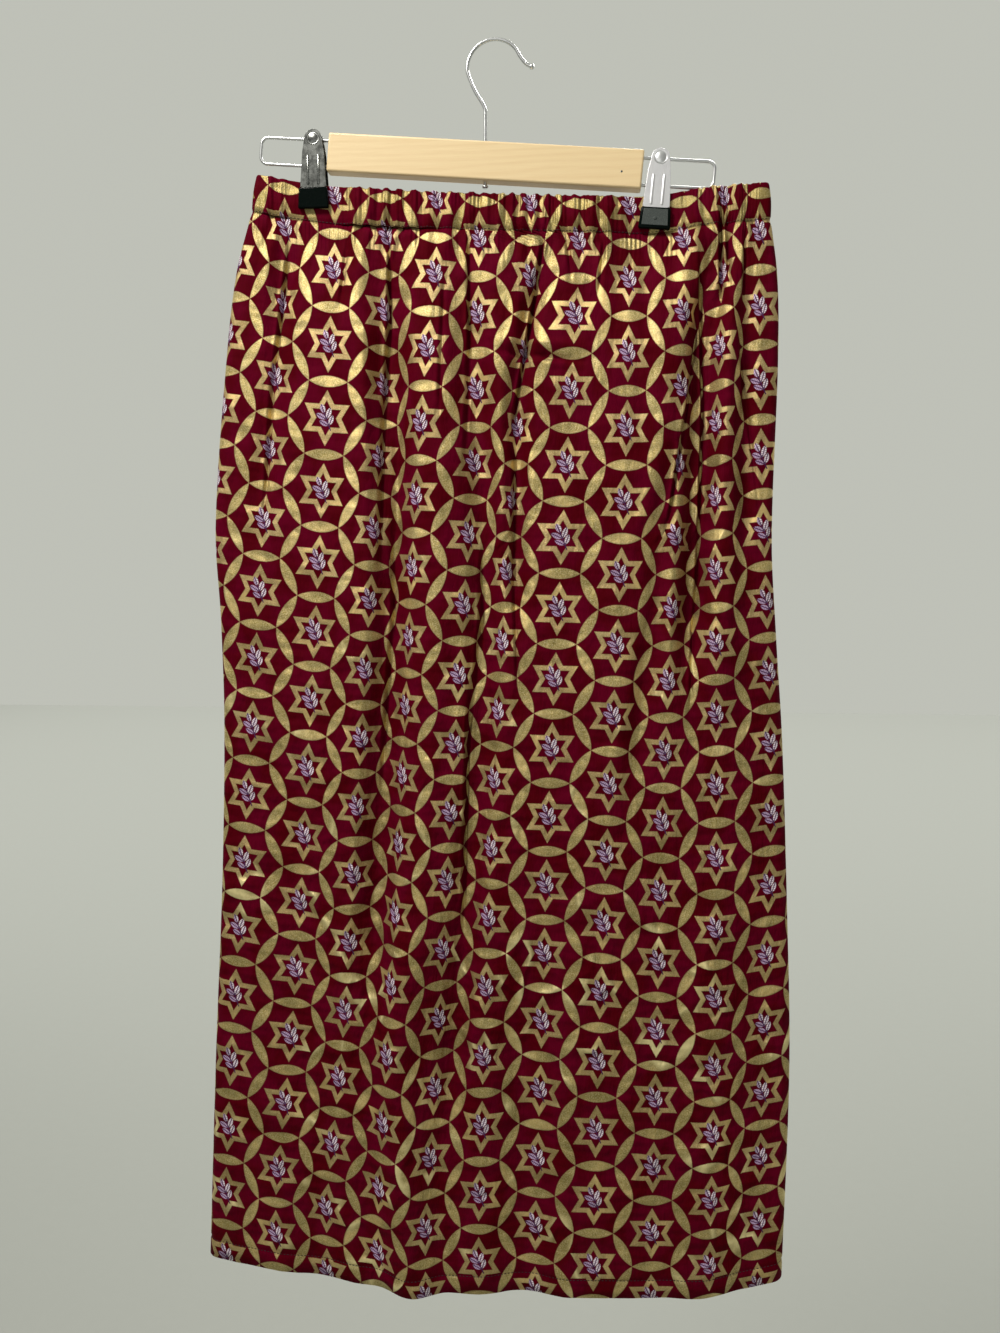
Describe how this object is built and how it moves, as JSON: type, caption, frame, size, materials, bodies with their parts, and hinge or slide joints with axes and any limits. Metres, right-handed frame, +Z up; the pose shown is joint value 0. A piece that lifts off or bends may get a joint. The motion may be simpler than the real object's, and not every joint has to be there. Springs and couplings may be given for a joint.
{
  "type": "maxi skirt on a clip hanger",
  "caption": "Long straight skirt of printed cotton with a gathered elastic casing waist, hung by its waist from a wooden clip hanger with a wire hook.",
  "frame": {"origin": "inner crown of the hanger's hook, where a nail or rail bears", "axes": "+Z up, +X to the right seen from the front, and the skirt's front faces -Y"},
  "size_m": [0.5186, 0.0566, 1.0759],
  "materials": {
    "printed_cotton": "plain-weave cotton with a soft sheen and a metallic gold print",
    "pale_wood": "clear satin lacquer",
    "bright_steel": "bright plated",
    "black_vinyl": "soft gloss"
  },
  "bodies": {
    "root": {"front_panel": "printed_cotton", "back_panel": "printed_cotton", "front_casing": "printed_cotton", "back_casing": "printed_cotton", "front_hem": "printed_cotton", "back_hem": "printed_cotton", "hook": "bright_steel", "hanger_bar": "pale_wood", "rail_left": "bright_steel", "rail_right": "bright_steel", "clip_left_front_jaw": "bright_steel", "clip_left_back_jaw": "bright_steel", "clip_left_spring": "bright_steel", "clip_left_front_tip": "black_vinyl", "clip_left_back_tip": "black_vinyl", "clip_right_front_jaw": "bright_steel", "clip_right_back_jaw": "bright_steel", "clip_right_spring": "bright_steel", "clip_right_front_tip": "black_vinyl", "clip_right_back_tip": "black_vinyl"}
  },
  "joints": []
}
